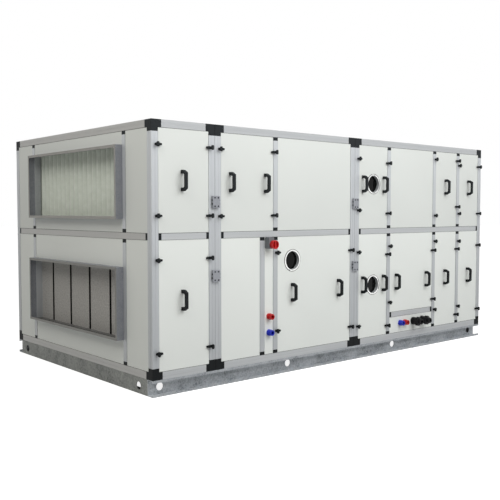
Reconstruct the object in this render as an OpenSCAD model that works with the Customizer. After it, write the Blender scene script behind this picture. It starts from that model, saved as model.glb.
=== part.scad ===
// Double-deck air handling unit on a galvanised base frame.
// Three box frames of aluminium profile are bolted end to end and closed by sandwich panels.
// All sizes are in millimetres. X runs along the long side, Y into the depth, Z up from the ground.

/* [Casing] */
// Length of the casing over its end profiles
casing_l = 4460; // [4300:10:5200]
// Depth of the casing from the access side to the back
casing_w = 2480; // [2200:10:3000]
// Height of the casing without its base
casing_h = 2000; // [1900:10:2300]
// Length of the first section, at the left end
section_1_l = 605; // [560:1:700]
// Length of the third section, at the right end
section_3_l = 2158; // [2100:1:2400]
// Thickness of the seal between two sections
seal_t = 3; // [2:0.5:8]
// How far the seal lies back from the casing's face
seal_setback = 1; // [1:0.5:10]
// Side of the square frame profile
profile = 60; // [50:1:70]
// Wall of the hollow frame profile
profile_wall = 3; // [2:0.5:5]
// Chamfer along the outer edge of the frame profile
profile_chamfer = 2; // [1:0.5:8]
// Width of the shallow groove along each outer face of the profile
groove_w = 5; // [3:0.5:8]
// Depth of that groove
groove_d = 1.5; // [0.5:0.5:2]
// Length of the arms of the corner pieces beyond their cube
corner_arm = 32; // [20:1:60]
// Height of the mid rail's underside above the bottom of the casing
mid_rail_up = 1081; // [1000:1:1150]
// Height of the mid rails
mid_rail_h = 50; // [40:1:60]
// Width of the mullions between panels
mullion_w = 50; // [40:1:60]
// Length of the plastic connector at each end of a mid rail
rail_end_l = 28; // [15:1:40]
// Length of the plastic connector at each end of a mullion
mullion_end_l = 30; // [15:1:40]

/* [Panels] */
// How far a panel's skin lies back from the profile's face
panel_inset = 2; // [1:0.5:4]
// Width of the open joint around a panel's outer skin
panel_gap = 3; // [2:0.5:5]
// Depth of that joint, behind which the panel meets its frame
skin_t = 7; // [4:1:12]

/* [Access side] */
// Mullion of section 2, measured from the section's left end to its centre
mullion_2_x = 663; // [640:1:700]
// Mullion left of the services strip, measured the same way
mullion_services_x = 511; // [480:1:530]
// First mullion of section 3, from the section's left end to its centre
mullion_3a_x = 512; // [470:1:560]
// Second mullion of section 3
mullion_3b_x = 1272; // [1200:1:1330]
// Third mullion of section 3
mullion_3c_x = 1707; // [1650:1:1760]
// Height of the pipe panel's rail above the bottom of the casing
pipe_rail_up = 227; // [200:1:280]

/* [Handles] */
// Height of a bridge handle
handle_h = 165; // [140:1:200]
// Reach of a bridge handle from its panel
handle_d = 63; // [50:1:75]
// Width of a bridge handle
handle_w = 26; // [18:1:32]
// Height of each foot of the handle
handle_foot = 28; // [20:1:34]
// Thickness of the grip
handle_grip = 18; // [10:1:20]
// Height of the chamfer at the outer corners of the handle
handle_chamfer = 20; // [8:1:22]
// Depth of the same chamfer, back from the grip
handle_chamfer_d = 34; // [20:1:40]
// Handle height on the upper deck of sections 1 and 2, from the panels' underside to the handle's centre
handle_up_z = 409; // [350:1:500]
// The same on the upper deck of section 3
handle_up_3_z = 434; // [350:1:500]
// Handle height on the lower deck of section 1, measured the same way
handle_low_1_z = 544; // [450:1:600]
// The same on the lower deck of section 2
handle_low_2_z = 522; // [450:1:600]
// The same on the lower deck of section 3
handle_low_3_z = 526; // [450:1:600]
// Shift of section 1's handles to the left of the door's middle
handle_shift_1 = 19; // [0:1:60]
// Distance of the left handle from the door's left edge on the upper door of section 2
handle_left_2u = 97; // [60:1:180]
// Distance of the right handle from the right edge of the same door
handle_right_2u = 97; // [60:1:180]
// Distance of the left handle from the door's left edge on the lower door of section 2
handle_left_2l = 175; // [80:1:240]
// Distance of the right handle from the right edge of the same door
handle_right_2l = 170; // [80:1:240]
// Distance of the left handle from the door's left edge on the sight-glass doors of section 3
handle_left_3a = 52; // [40:1:70]
// Distance of the right handle from the right edge of the same doors
handle_right_3a = 64; // [45:1:80]
// Distance of the left handle from the door's left edge on the wide lower door of section 3
handle_left_3b = 91; // [60:1:180]
// Distance of the right handle from the right edge of the same door
handle_right_3b = 118; // [60:1:180]
// Shift of the handles in section 3's third column to the left of the door's middle
handle_shift_3c = 22; // [0:1:40]
// The same in the last column
handle_shift_3d = 17; // [0:1:40]

/* [Clamps] */
// Length of a clamp's bar, which straddles the profile and the door's edge
clamp_l = 58; // [45:1:70]
// Height of the clamp's bar
clamp_h = 22; // [16:1:28]
// Thickness of the clamp's bar
clamp_t = 14; // [8:1:18]
// Distance of the clamp's screw from the door's edge, on the profile
clamp_screw_x = 17; // [10:1:20]
// Radius of the clamp's hub
clamp_hub_r = 11; // [8:0.5:14]
// Reach of the clamp's wing from the profile's face
clamp_reach = 36; // [32:1:55]
// Height of the clamp's wing
clamp_wing_h = 38; // [28:1:50]
// Width of the clamp's wing
clamp_wing_w = 20; // [12:1:24]
// Thickness of the clamp's wing along its screw
clamp_wing_t = 14; // [10:1:18]
// Distance of the clamps from the top and bottom of a door
clamp_inset = 135; // [100:1:200]

/* [Sight glasses] */
// Radius of the sight glass's outer flange
port_r = 95; // [92:1:105]
// Radius of the clear glass
port_glass_r = 81; // [60:1:82]
// Thickness of the flange in front of the door
port_flange_t = 7; // [5:1:14]
// Wall of the barrel that passes through the door
port_wall = 6; // [5:0.5:8]
// Depth of the glass behind the door's skin
port_glass_depth = 28; // [10:1:35]
// Thickness of the glass
port_glass_t = 6; // [4:1:10]
// Width of the shoulder that the glass rests on
port_shoulder = 3; // [2:0.5:4]
// Radial clearance of the barrel and of the glass
port_clear = 0.3; // [0.2:0.1:0.6]
// Sight glass of section 2: distance from the door's left edge
port_2_x = 181; // [120:1:300]
// Sight glass of section 2: height above the lower panels' underside
port_2_z = 806; // [600:1:840]
// Sight glasses of section 3: height above the upper panels' underside
port_3u_z = 437; // [350:1:600]
// Sight glasses of section 3: height above the lower panels' underside
port_3l_z = 517; // [400:1:700]

/* [Isolator] */
// Width of the isolator's box
iso_w = 64; // [50:1:75]
// Height of the isolator's box
iso_h = 100; // [80:1:110]
// Reach of the isolator's box from its panel
iso_d = 50; // [40:1:70]
// Bevel at the corners of the isolator's box
iso_corner = 7; // [3:1:15]
// Width of the seam under the isolator's lid, and the step around its face
iso_seam = 2; // [1:0.5:3]
// Gap between the isolator's box and the mid rail
iso_drop = 1; // [1:1:20]
// How far the spindle lies to the right of the box's middle
iso_shift = 13; // [0:1:15]
// How far the spindle lies below the box's middle
iso_low = 14; // [0:1:20]
// Radius of the isolator's knob
knob_r = 37; // [30:1:42]
// Length of the isolator's knob
knob_l = 34; // [30:1:50]
// Wall of the knob around its recessed face
knob_wall = 7; // [5:1:10]
// Width of the grip bar across the knob's recess
knob_grip = 15; // [13:1:20]
// Free gap between the knob and the box
knob_gap = 5; // [5:0.5:8]
// Radius of the knob's spindle
spindle_r = 6; // [4:0.5:9]
// Depth of the spindle in the box
spindle_depth = 30; // [15:1:36]
// Radial clearance of the spindle
spindle_clear = 0.1; // [0.05:0.05:0.3]

/* [Pipe connections] */
// Radius of a pipe connection's collar
stub_r = 28; // [22:1:34]
// Reach of a pipe connection from its panel
stub_l = 52; // [40:1:80]
// Depth of the open bores in the pipe connections and drain unions
pipe_bore_d = 32; // [10:1:36]
// Wall around those bores
pipe_wall = 9; // [5:1:12]
// Height of the heater's flow above the lower panels' underside
heater_flow_z = 330; // [250:1:420]
// Height of the heater's return above the lower panels' underside
heater_return_z = 190; // [90:1:230]
// Distance of the cooler's first pipe from the pipe panel's left edge
cooler_x = 170; // [80:1:190]
// Distance between the cooler's two pipes
cooler_pitch = 74; // [68:1:90]
// Height of the pipes on the pipe panel, above the panel's underside
cooler_z = 96; // [80:1:110]
// Distance of the first drain union from the pipe panel's left edge
union_x = 389; // [320:1:430]
// Distance between the two drain unions
union_pitch = 145; // [115:1:180]
// Radius of the drain union's nut
union_r = 47; // [40:1:50]
// Radius of the drain union's tail
union_tail_r = 29; // [22:1:32]
// Radius of the drain union's collar on the panel
union_collar_r = 40; // [33:1:42]
// Radius of the neck between the drain union's collar and its nut
union_neck_r = 30; // [24:1:32]
// Reach of a drain union from its panel
union_l = 118; // [100:1:150]
// Length of the drain union's collar
union_collar_l = 18; // [10:1:24]
// Distance of the drain union's nut from the panel
union_nut_z = 46; // [36:1:50]
// Length of the drain union's nut
union_nut_l = 40; // [25:1:45]
// Number of grip ribs around the drain union's nut
nut_ribs = 14; // [8:1:20]
// Radius of a grip rib
nut_rib_r = 5; // [3:0.5:6]

/* [Duct ends] */
// Centre of an end mullion from the casing's long sides
end_mullion_y = 403; // [340:1:460]
// How far a duct collar's outside lies within the mullions' centre lines
collar_in = 17; // [10:1:20]
// Height of a duct collar
collar_h = 592; // [450:1:640]
// How far the lower duct openings lie below the middle of their deck
collar_low_drop = 12; // [0:1:40]
// Reach of a duct collar from the casing
collar_d = 65; // [40:1:120]
// Thickness of the collar's sheet
collar_t = 4; // [2:0.5:5]
// Width of the collar's inward lip
collar_lip = 22; // [20:1:30]
// Radius of the bolt hole in each corner of the lip
collar_hole_r = 5; // [3:0.5:6]
// Depth of the filters' pleats
pleat_d = 34; // [20:1:60]
// Distance from pleat to pleat
pleat_pitch = 84; // [60:1:120]
// Depth of a filter pack behind its pleats
filter_back = 60; // [30:1:120]
// Thickness of the filter wall around the pack
filter_wall = 20; // [10:1:40]
// Overlap of a filter pack behind the edges of its opening
filter_lap = 20; // [10:1:30]
// Distance from slot to slot between the attenuator baffles
baffle_pitch = 357; // [300:1:400]
// Width of a slot between two baffles
baffle_slot = 32; // [20:1:60]
// Depth of the baffles along the air's way
baffle_d = 420; // [200:10:430]
// Shift of the baffles' slots towards the back of the unit
baffle_shift = 30; // [0:1:60]
// Number of slots between the baffles
baffle_slots = 6; // [2:2:6]

/* [Base] */
// Height of the base rails
base_h = 130; // [100:1:180]
// Width of the base rails' flanges
base_flange = 76; // [60:1:100]
// Thickness of the base rails' sheet
base_t = 5; // [3:0.5:8]
// Height of the lips along the flanges' edges
base_lip = 20; // [12:1:28]
// Radius of the lifting holes
lift_r = 32; // [20:1:36]
// Height of the lifting holes' centres
lift_z = 62; // [50:1:80]
// Distance of the outer lifting holes from the ends of the long rails
lift_end = 110; // [80:1:160]
// Distance of the lifting holes in the end rails from the long sides
lift_side = 205; // [150:1:300]

/* [Section joints] */
// Width of a joint block
joint_w = 72; // [40:1:80]
// Height of a joint block
joint_h = 97; // [70:1:120]
// Reach of a joint block from the profile's face
joint_d = 22; // [12:1:30]
// Radius of the joint blocks' screw heads
joint_screw_r = 6; // [4:0.5:8]
// Height of the upper joint block's centre above the upper panels' underside
joint_up_z = 245; // [150:1:400]
// Height of the lower joint block's centre above the lower panels' underside
joint_low_z = 717; // [500:1:800]

/* [Hidden] */

// Small overlap that makes two fused shapes one solid
bond = 1;
// Drills reach this far past what they cut
past = 5;

// Levels
z_top = base_h + casing_h;
low_z0 = base_h + profile;
low_z1 = base_h + mid_rail_up;
up_z0 = low_z1 + mid_rail_h;
up_z1 = z_top - profile;
pipe_z1 = base_h + pipe_rail_up;
pipe_door_z0 = pipe_z1 + mid_rail_h;

// Sections along the casing: [start, end] of each
section_2_l = casing_l - section_1_l - section_3_l - 2 * seal_t;
section_2_x0 = section_1_l + seal_t;
section_3_x0 = section_2_x0 + section_2_l + seal_t;
sections = [
  [0, section_1_l],
  [section_2_x0, section_2_x0 + section_2_l],
  [section_3_x0, casing_l]
];
// Clear width between the posts of a section
function clear_x(s) = [sections[s][0] + profile, sections[s][1] - profile];

// Mullion centres on the access side
m2 = section_2_x0 + mullion_2_x;
ms = section_2_x0 + mullion_services_x;
m3a = section_3_x0 + mullion_3a_x;
m3b = section_3_x0 + mullion_3b_x;
m3c = section_3_x0 + mullion_3c_x;
half_m = mullion_w / 2;

// Panel columns on the access side: [left, right] of each
col_1 = clear_x(0);
col_2a = [clear_x(1)[0], m2 - half_m];
col_2b = [m2 + half_m, clear_x(1)[1]];
col_2c = [clear_x(1)[0], ms - half_m];
col_2d = [ms + half_m, m2 - half_m];
col_3a = [clear_x(2)[0], m3a - half_m];
col_3b = [m3a + half_m, m3b - half_m];
col_3c = [m3b + half_m, m3c - half_m];
col_3d = [m3c + half_m, clear_x(2)[1]];

// Decks: [underside, top] of the panels
low = [low_z0, low_z1];
up = [up_z0, up_z1];
low_pipe = [low_z0, pipe_z1];
low_over_pipe = [pipe_door_z0, low_z1];

// Blank columns of the back, the roof and the floor in each section
blank_columns = [1, 2, 3];
function blank_step(s) = floor((clear_x(s)[1] - clear_x(s)[0] + mullion_w) / blank_columns[s]);
function blank_col(s, i) = [
  clear_x(s)[0] + i * blank_step(s),
  i == blank_columns[s] - 1 ? clear_x(s)[1] : clear_x(s)[0] + (i + 1) * blank_step(s) - mullion_w
];

// Doors: column, deck, handle centres, handle height, and the clamps' shift up from their usual
// height at the left top, left bottom, right top and right bottom
function two_handles(col, left, right) = [col[0] + left, col[1] - right];
function one_handle(col, shift) = [(col[0] + col[1]) / 2 - shift];
up_12 = up_z0 + handle_up_z;
up_3 = up_z0 + handle_up_3_z;
low_1 = low_z0 + handle_low_1_z;
low_2 = low_z0 + handle_low_2_z;
low_3 = low_z0 + handle_low_3_z;
doors_1 = [
  [col_1, up, one_handle(col_1, handle_shift_1), up_12, [5, 0, 5, 0]],
  [col_1, low, one_handle(col_1, handle_shift_1), low_1, [-20, 10, -20, 10]]
];
doors_2 = [
  [col_2a, up, two_handles(col_2a, handle_left_2u, handle_right_2u), up_12, [0, -5, 5, 0]],
  [col_2b, low, two_handles(col_2b, handle_left_2l, handle_right_2l), low_2, [-5, 60, -15, 0]]
];
doors_3_upper = [
  [col_3a, up, two_handles(col_3a, handle_left_3a, handle_right_3a), up_3, [0, 45, -25, 15]],
  [col_3c, up, one_handle(col_3c, handle_shift_3c), up_3, [50, -10, 50, 85]],
  [col_3d, up, one_handle(col_3d, handle_shift_3d), up_3, [0, 10, 0, 10]]
];
doors_3_lower = [
  [col_3a, low, two_handles(col_3a, handle_left_3a, handle_right_3a), low_3, [-40, -10, -75, -45]],
  [col_3b, low_over_pipe, two_handles(col_3b, handle_left_3b, handle_right_3b), low_3, [5, -30, -60, -50]],
  [col_3c, low, one_handle(col_3c, handle_shift_3c), low_3, [35, 50, -60, -40]],
  [col_3d, low, one_handle(col_3d, handle_shift_3d), low_3, [25, 50, -30, -10]]
];
doors = concat(doors_1, doors_2, doors_3_upper, doors_3_lower);

// Sight glasses: centre along X and height
port_2 = [col_2b[0] + port_2_x, low_z0 + port_2_z];
port_3u = [(col_3a[0] + col_3a[1]) / 2, up_z0 + port_3u_z];
port_3l = [(col_3a[0] + col_3a[1]) / 2, low_z0 + port_3l_z];
ports = [port_2, port_3u, port_3l];
port_barrel_r = port_glass_r + port_shoulder + port_wall;

// Isolator and heater pipes on the services strip
services_x = (col_2d[0] + col_2d[1]) / 2;
iso_z = low_z1 - iso_drop - iso_h / 2 - iso_low;
bore_r = spindle_r + spindle_clear;

// Duct ends
mid_y = casing_w / 2;
collar_w = casing_w - 2 * (end_mullion_y + collar_in);
duct_y0 = end_mullion_y + half_m;
duct_y1 = casing_w - duct_y0;
low_mid = (low_z0 + low_z1) / 2 - collar_low_drop;
up_mid = (up_z0 + up_z1) / 2;
duct_half_h = collar_h / 2 - collar_t;

// Furthest reach in front of the casing, which sets the middle of the whole unit
iso_reach = iso_d + knob_gap + knob_l - panel_inset;
front_reach = max(union_l - panel_inset, iso_reach, handle_d - panel_inset, clamp_reach);
x_left = -casing_l / 2;
y_front = (front_reach - casing_w) / 2;

// Moves the casing's near bottom corner to its place in the unit's own frame
module place() { translate([x_left, y_front, 0]) children(); }
// Local right, up and inward on each wall of the casing
module on_front() { mirror([0, 1, 0]) rotate([90, 0, 0]) children(); }
module on_back() { translate([0, casing_w, 0]) rotate([90, 0, 0]) children(); }
module on_left() { rotate([90, 0, 90]) children(); }
module on_right() { translate([casing_l, 0, 0]) mirror([1, 0, 0]) on_left() children(); }
module on_floor() { translate([0, 0, base_h]) children(); }
module on_roof() { translate([0, 0, z_top]) mirror([0, 0, 1]) children(); }
// Repeats a child at the far side of a length
module flip(axis, len, far) {
  if (far == 1) translate(axis * len) mirror(axis) children();
  else children();
}

// Sandwich panel between two columns and two levels: a core that meets the frame and a smaller outer skin
module panel(u, v) {
  translate([u[0], v[0], panel_inset + skin_t])
    cube([u[1] - u[0], v[1] - v[0], profile - panel_inset - skin_t]);
  translate([u[0] + panel_gap, v[0] + panel_gap, panel_inset])
    cube([u[1] - u[0] - 2 * panel_gap, v[1] - v[0] - 2 * panel_gap, skin_t + bond]);
}

// Hollow square profile with its outer corner at the origin and a groove along both outer faces
module profile_section() {
  groove_at = profile / 2 - groove_w / 2;
  difference() {
    polygon([
      [profile_chamfer, 0], [groove_at, 0], [groove_at, groove_d], [groove_at + groove_w, groove_d],
      [groove_at + groove_w, 0], [profile, 0], [profile, profile], [0, profile],
      [0, groove_at + groove_w], [groove_d, groove_at + groove_w], [groove_d, groove_at],
      [0, groove_at], [0, profile_chamfer]
    ]);
    translate([profile_wall + groove_d, profile_wall + groove_d])
      square(profile - 2 * profile_wall - groove_d);
  }
}

// Four posts, four long rails and four cross rails, cut short for the corner pieces
module section_frame(s) {
  l = sections[s][1] - sections[s][0];
  end = profile + corner_arm;
  color("silver") place() translate([sections[s][0], 0, base_h]) {
    for (a = [0, 1], b = [0, 1]) {
      flip([1, 0, 0], l, a) flip([0, 1, 0], casing_w, b) translate([0, 0, end])
        linear_extrude(casing_h - 2 * end) profile_section();
      flip([0, 1, 0], casing_w, a) flip([0, 0, 1], casing_h, b) translate([end, 0, 0])
        on_left() linear_extrude(l - 2 * end) profile_section();
      flip([1, 0, 0], l, a) flip([0, 0, 1], casing_h, b) translate([0, end, 0])
        on_front() linear_extrude(casing_w - 2 * end) profile_section();
    }
  }
}
module frame_section_1() { section_frame(0); }
module frame_section_2() { section_frame(1); }
module frame_section_3() { section_frame(2); }

// Corner piece: a cube with an arm along each of the three profiles that it joins
module corner_block() {
  cube([profile + corner_arm, profile, profile]);
  cube([profile, profile + corner_arm, profile]);
  cube([profile, profile, profile + corner_arm]);
}
module corner_blocks() {
  color("#2d2d30") place()
    for (s = sections, a = [0, 1], b = [0, 1], c = [0, 1])
      translate([s[0], 0, base_h])
        flip([1, 0, 0], s[1] - s[0], a) flip([0, 1, 0], casing_w, b) flip([0, 0, 1], casing_h, c)
          corner_block();
}

// Compressed seal strips between neighbouring sections, apart at their ends
module section_seals() {
  strip = profile - seal_setback;
  cut = bond / 2;
  color("#222222") place()
    for (x = [section_1_l, section_3_x0 - seal_t]) {
      for (b = [0, 1])
        flip([0, 1, 0], casing_w, b)
          translate([x, seal_setback, base_h + seal_setback])
            cube([seal_t, strip, casing_h - 2 * seal_setback]);
      for (c = [0, 1])
        translate([x, 0, base_h]) flip([0, 0, 1], casing_h, c)
          translate([0, profile + cut, seal_setback])
            cube([seal_t, casing_w - 2 * (profile + cut), strip]);
    }
}

// A rail or a mullion without its end connectors, and the connectors alone
module rail(u, z, cap) {
  translate([u[0] + cap, z, 0]) cube([u[1] - u[0] - 2 * cap, mid_rail_h, profile]);
}
module rail_caps(u, z, cap) {
  for (x = [u[0], u[1] - cap])
    translate([x, z, 0]) cube([cap, mid_rail_h, profile]);
}
module mullion(x, v, cap) {
  translate([x - half_m, v[0] + cap, 0]) cube([mullion_w, v[1] - v[0] - 2 * cap, profile]);
}
module mullion_caps(x, v, cap) {
  for (z = [v[0], v[1] - cap])
    translate([x - half_m, z, 0]) cube([mullion_w, cap, profile]);
}

// Mullions of the access side: centre and deck
front_mullions = [
  [m2, up], [m2, low], [ms, low],
  [m3a, up], [m3a, low], [m3b, up], [m3b, low], [m3c, up], [m3c, low]
];
module rails_and_mullions_front() {
  color("silver") place() on_front() {
    for (s = [0:2]) rail(clear_x(s), low_z1, rail_end_l);
    rail(col_3b, pipe_z1, rail_end_l);
    for (m = front_mullions) mullion(m[0], m[1], mullion_end_l);
  }
}

// Mullions of the back stand between its blank columns
function back_mullion_x(s, i) = blank_col(s, i)[1] + half_m;
module rails_and_mullions_back() {
  color("silver") place() on_back() {
    for (s = [0:2]) {
      rail(clear_x(s), low_z1, rail_end_l);
      for (i = [0:1:blank_columns[s] - 2], v = [low, up])
        mullion(back_mullion_x(s, i), v, mullion_end_l);
    }
  }
}

end_clear = [profile, casing_w - profile];
end_mullions = [end_mullion_y, casing_w - end_mullion_y];
module end_rails() {
  rail(end_clear, low_z1, rail_end_l);
  for (y = end_mullions, v = [low, up]) mullion(y, v, mullion_end_l);
}
module rails_and_mullions_ends() {
  color("silver") place() {
    on_left() end_rails();
    on_right() end_rails();
  }
}

module end_connectors() {
  rail_caps(end_clear, low_z1, rail_end_l);
  for (y = end_mullions, v = [low, up]) mullion_caps(y, v, mullion_end_l);
}
module rail_connectors() {
  color("#2d2d30") place() {
    on_front() {
      for (s = [0:2]) rail_caps(clear_x(s), low_z1, rail_end_l);
      rail_caps(col_3b, pipe_z1, rail_end_l);
      for (m = front_mullions) mullion_caps(m[0], m[1], mullion_end_l);
    }
    on_back()
      for (s = [0:2]) {
        rail_caps(clear_x(s), low_z1, rail_end_l);
        for (i = [0:1:blank_columns[s] - 2], v = [low, up])
          mullion_caps(back_mullion_x(s, i), v, mullion_end_l);
      }
    on_left() end_connectors();
    on_right() end_connectors();
  }
}

module roof_bars() {
  for (s = [0:2], i = [0:1:blank_columns[s] - 2])
    mullion(back_mullion_x(s, i), end_clear, 0);
}
module mullions_roof_floor() {
  color("silver") place() {
    on_roof() roof_bars();
    on_floor() roof_bars();
  }
}

// Access doors, with a round hole where a sight glass passes through
module door_panels(list) {
  color("#e3e7e3") place() on_front() {
    difference() {
      union() { for (d = list) panel(d[0], d[1]); }
      for (p = ports)
        translate([p[0], p[1], -past]) cylinder(h = profile + 2 * past, r = port_barrel_r + port_clear, $fn = 64);
    }
  }
}
module doors_section_1() { door_panels(doors_1); }
module doors_section_2() { door_panels(doors_2); }
module doors_section_3_upper() { door_panels(doors_3_upper); }
module doors_section_3_lower() { door_panels(doors_3_lower); }

module panels_section_2() {
  color("#e3e7e3") place() on_front() {
    panel(col_2b, up);
    panel(col_2c, low);
    panel(col_2d, low);
  }
}
module panels_section_3() {
  color("#e3e7e3") place() on_front() {
    panel(col_3b, up);
    panel(col_3b, low_pipe);
  }
}

// End wall: side panels, and a strip above and below each duct opening
module end_wall() {
  for (v = [low, up]) {
    panel([profile, end_mullion_y - half_m], v);
    panel([casing_w - end_mullion_y + half_m, casing_w - profile], v);
  }
  for (d = [[low, low_mid], [up, up_mid]]) {
    panel([duct_y0, duct_y1], [d[0][0], d[1] - duct_half_h]);
    panel([duct_y0, duct_y1], [d[1] + duct_half_h, d[0][1]]);
  }
}
module end_panels_left() { color("#bebeba") place() on_left() end_wall(); }
module end_panels_right() { color("#bebeba") place() on_right() end_wall(); }

module back_panels() {
  color("#e3e7e3") place() on_back()
    for (s = [0:2], i = [0:blank_columns[s] - 1], v = [low, up]) panel(blank_col(s, i), v);
}
module roof_panels() {
  color("#e3e7e3") place() on_roof()
    for (s = [0:2], i = [0:blank_columns[s] - 1]) panel(blank_col(s, i), end_clear);
}
module floor_panels() {
  color("#e3e7e3") place() on_floor()
    for (s = [0:2], i = [0:blank_columns[s] - 1]) panel(blank_col(s, i), end_clear);
}

// Deck between the two air streams, carried by the mid rails
module deck_panels() {
  color("#c8ccce") place()
    for (s = [0:2]) {
      x0 = sections[s][0] + (s == 0 ? profile : 0);
      x1 = sections[s][1] - (s == 2 ? profile : 0);
      translate([x0, profile, low_z1]) cube([x1 - x0, casing_w - 2 * profile, mid_rail_h]);
    }
}

// Duct collar: folded sheet with an inward lip at its mouth
module collar(z) {
  translate([mid_y - collar_w / 2, z - collar_h / 2, -collar_d]) difference() {
    cube([collar_w, collar_h, collar_d]);
    translate([collar_t, collar_t, collar_t])
      cube([collar_w - 2 * collar_t, collar_h - 2 * collar_t, collar_d]);
    translate([collar_lip, collar_lip, -past])
      cube([collar_w - 2 * collar_lip, collar_h - 2 * collar_lip, collar_d]);
    for (u = [collar_lip / 2, collar_w - collar_lip / 2], v = [collar_lip / 2, collar_h - collar_lip / 2])
      translate([u, v, -past]) cylinder(h = collar_t + 2 * past, r = collar_hole_r, $fn = 32);
  }
}
module duct_collar_left_upper() { color("#8f939b") place() on_left() collar(up_mid); }
module duct_collar_left_lower() { color("#8f939b") place() on_left() collar(low_mid); }
module duct_collar_right_upper() { color("#8f939b") place() on_right() collar(up_mid); }
module duct_collar_right_lower() { color("#8f939b") place() on_right() collar(low_mid); }

// Pleated filter pack in its wall, behind a duct opening
pack_y0 = duct_y0 - filter_lap;
pack_w = duct_y1 - duct_y0 + 2 * filter_lap;
pleats = round(pack_w / pleat_pitch);
steps_per_pleat = 8;
function pleat_x(i) = profile + pleat_d * (1 + cos(360 * i / steps_per_pleat)) / 2;
module filter_bank(z, v) {
  pack_h = 2 * (duct_half_h + filter_lap);
  steps = pleats * steps_per_pleat;
  translate([0, 0, z - pack_h / 2]) linear_extrude(pack_h)
    polygon(concat(
      [for (i = [0:steps]) [pleat_x(i), pack_y0 + pack_w * i / steps]],
      [[profile + pleat_d + filter_back, pack_y0 + pack_w], [profile + pleat_d + filter_back, pack_y0]]
    ));
  translate([profile, 0, 0]) difference() {
    translate([0, profile + bond, v[0]])
      cube([filter_wall, casing_w - 2 * (profile + bond), v[1] - v[0]]);
    translate([-past, pack_y0 + bond, z - pack_h / 2 + bond])
      cube([filter_wall + 2 * past, pack_w - 2 * bond, pack_h - 2 * bond]);
  }
}
module filter_banks() {
  color("#a0a898") place() {
    filter_bank(up_mid, up);
    flip([1, 0, 0], casing_l, 1) filter_bank(low_mid, low);
  }
}

// Attenuator baffles standing on the floor or the deck, with open slots between them
baffle_y0 = profile + bond;
baffle_y1 = casing_w - profile - bond;
slot_0 = mid_y + baffle_shift - (baffle_slots - 1) / 2 * baffle_pitch;
function slot_y(i) = slot_0 + i * baffle_pitch;
module baffles(v) {
  for (i = [0:baffle_slots]) {
    y0 = i == 0 ? baffle_y0 : slot_y(i - 1) + baffle_slot / 2;
    y1 = i == baffle_slots ? baffle_y1 : slot_y(i) - baffle_slot / 2;
    translate([profile, y0, v[0]]) cube([baffle_d, y1 - y0, v[1] - v[0]]);
  }
}
module attenuator_baffles() {
  color("#7a7876") place() {
    baffles(low);
    flip([1, 0, 0], casing_l, 1) baffles(up);
  }
}

// Bridge handle seen from the side: feet on the panel, chamfered corners and a straight grip
module handle_side() {
  inner = handle_d - handle_grip;
  ease = handle_chamfer / 2;
  polygon([
    [0, 0], [handle_d - handle_chamfer_d, 0], [handle_d, handle_chamfer],
    [handle_d, handle_h - handle_chamfer], [handle_d - handle_chamfer_d, handle_h], [0, handle_h],
    [0, handle_h - handle_foot], [inner - ease, handle_h - handle_foot],
    [inner, handle_h - handle_foot - ease], [inner, handle_foot + ease],
    [inner - ease, handle_foot], [0, handle_foot]
  ]);
}
module door_handles() {
  color("#242426") place()
    for (d = doors, x = d[2])
      translate([x - handle_w / 2, panel_inset, d[3] - handle_h / 2])
        on_left() linear_extrude(handle_w) mirror([1, 0]) handle_side();
}

// Door clamp on a door's left edge: a tapered bar across profile and door, a hub and a wing to turn
module clamp() {
  hub_l = clamp_reach - clamp_wing_t;
  tip = clamp_h * 0.32;
  translate([-clamp_l / 2, 0, 0]) rotate([90, 0, 0]) linear_extrude(clamp_t)
    polygon([
      [0, -tip], [tip, -clamp_h / 2], [clamp_l * 0.6, -clamp_h / 2], [clamp_l, -tip],
      [clamp_l, tip], [clamp_l * 0.6, clamp_h / 2], [tip, clamp_h / 2], [0, tip]
    ]);
  translate([-clamp_screw_x, bond - clamp_t, 0]) rotate([90, 0, 0])
    cylinder(h = hub_l - clamp_t + 2 * bond, r = clamp_hub_r, $fn = 32);
  translate([-clamp_screw_x, -hub_l, 0]) rotate([90, 0, 0]) linear_extrude(clamp_wing_t)
    polygon([
      [-clamp_wing_w / 2, -clamp_wing_h / 4], [-clamp_wing_w / 4, -clamp_wing_h / 2],
      [clamp_wing_w / 4, -clamp_wing_h / 2], [clamp_wing_w / 2, -clamp_wing_h / 4],
      [clamp_wing_w / 2, clamp_wing_h / 4], [clamp_wing_w / 4, clamp_wing_h / 2],
      [-clamp_wing_w / 4, clamp_wing_h / 2], [-clamp_wing_w / 2, clamp_wing_h / 4]
    ]);
}
module panel_clamps() {
  color("#242426") place()
    for (d = doors) {
      top = d[1][1] - clamp_inset;
      bottom = d[1][0] + clamp_inset;
      for (z = [top + d[4][0], bottom + d[4][1]]) translate([d[0][0], 0, z]) clamp();
      for (z = [top + d[4][2], bottom + d[4][3]]) translate([d[0][1], 0, z]) mirror([1, 0, 0]) clamp();
    }
}

// Sight glass frame: flange on the door, barrel through it and a shoulder for the glass
module sight_glass_frames() {
  color("#d8dad8") place() on_front()
    for (p = ports)
      translate([p[0], p[1], panel_inset]) rotate_extrude($fn = 64)
        polygon([
          [port_glass_r, -port_flange_t / 2], [port_glass_r + port_flange_t / 2, -port_flange_t],
          [port_r - port_flange_t / 2, -port_flange_t], [port_r, -port_flange_t / 2], [port_r, 0],
          [port_barrel_r, 0], [port_barrel_r, profile - panel_inset],
          [port_barrel_r - port_wall, profile - panel_inset],
          [port_barrel_r - port_wall, port_glass_depth], [port_glass_r, port_glass_depth]
        ]);
}
module sight_glass_panes() {
  color("#101214") place() on_front()
    for (p = ports)
      translate([p[0], p[1], panel_inset + port_glass_depth])
        cylinder(h = port_glass_t, r = port_glass_r + port_shoulder - port_clear, $fn = 64);
}

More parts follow.
